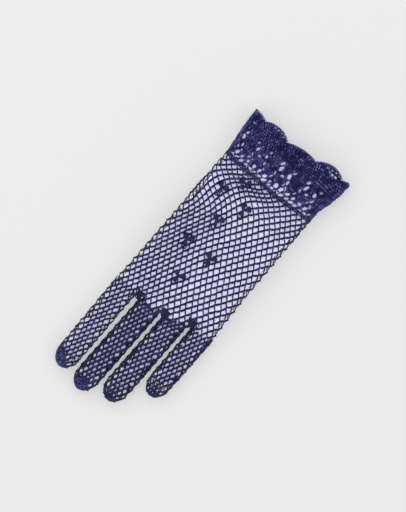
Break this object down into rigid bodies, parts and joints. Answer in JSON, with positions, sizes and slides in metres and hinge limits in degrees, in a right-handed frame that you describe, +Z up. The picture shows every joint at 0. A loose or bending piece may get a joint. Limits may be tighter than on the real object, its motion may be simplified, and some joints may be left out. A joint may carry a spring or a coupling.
{
  "type": "crochet glove with stiffener card",
  "caption": "Left-hand crochet net dress glove with a flared scalloped lace cuff, flower clusters on the back and a thin card inside, lying palm down.",
  "frame": {"origin": "under the middle of the wrist band, on the plane that the glove lies on", "axes": "+X to the index finger's side, +Y from the wrist to the fingertips, +Z up through the back of the hand"},
  "size_m": [0.0869, 0.2397, 0.0181],
  "materials": {
    "navy_net": "navy cotton yarn crocheted as open diamond net",
    "navy_lace": "navy cotton yarn in dense crochet stitches",
    "blue_elastic": "dull blue covered elastic thread",
    "white_card": "plain smooth white card"
  },
  "bodies": {
    "root": {"hand_body": "navy_net", "index_finger": "navy_net", "middle_finger": "navy_net", "ring_finger": "navy_net", "little_finger": "navy_net", "thumb": "navy_net", "crotch_index_middle": "navy_lace", "crotch_middle_ring": "navy_lace", "crotch_ring_little": "navy_lace", "wrist_elastic": "blue_elastic", "cuff_lace": "navy_lace", "scallop_edging": "navy_lace", "stiffener_card": "white_card", "flower_1": "navy_lace", "flower_2": "navy_lace", "flower_3": "navy_lace", "flower_4": "navy_lace", "flower_5": "navy_lace", "flower_6": "navy_lace", "flower_7": "navy_lace"}
  },
  "joints": []
}
